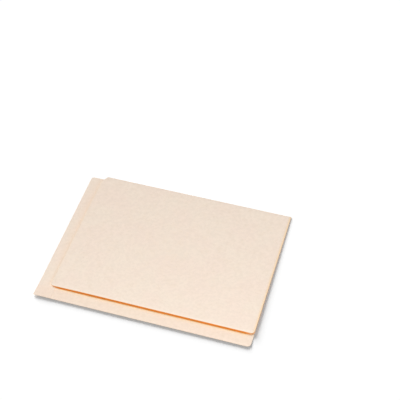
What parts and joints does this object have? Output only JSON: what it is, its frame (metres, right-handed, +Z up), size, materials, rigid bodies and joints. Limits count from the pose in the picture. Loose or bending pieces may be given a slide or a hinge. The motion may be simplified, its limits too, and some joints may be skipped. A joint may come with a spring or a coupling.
{
  "type": "manila folder",
  "caption": "Letter-size end-tab manila folder of cream card: a low front leaf opens on its fold over a taller back leaf with a stiffened tab along one end.",
  "frame": {"origin": "middle of the closed folder's outline, on the surface that it lies on", "axes": "+X along the fold, away from the end tab; +Y from the free edges to the fold; +Z up, from the back leaf to the front leaf"},
  "size_m": [0.3112, 0.2413, 0.004],
  "materials": {
    "manila_card": "matt uncoated card",
    "manila_ply": "matt uncoated card",
    "dried_glue": "dried white glue"
  },
  "bodies": {
    "back_cover": {"back_leaf": "manila_card", "tab_ply": "manila_ply", "tab_glue_film": "dried_glue", "fold_crease": "manila_card"},
    "front_cover": {"front_leaf": "manila_card"}
  },
  "joints": [
    {"name": "cover_swing", "type": "hinge", "parent": "back_cover", "child": "front_cover", "pos_m": [0, 0.12082, 0.00068], "axis": [-1, 0, 0], "range_deg": [0, 179.3], "deforming": ["fold_crease"]}
  ]
}
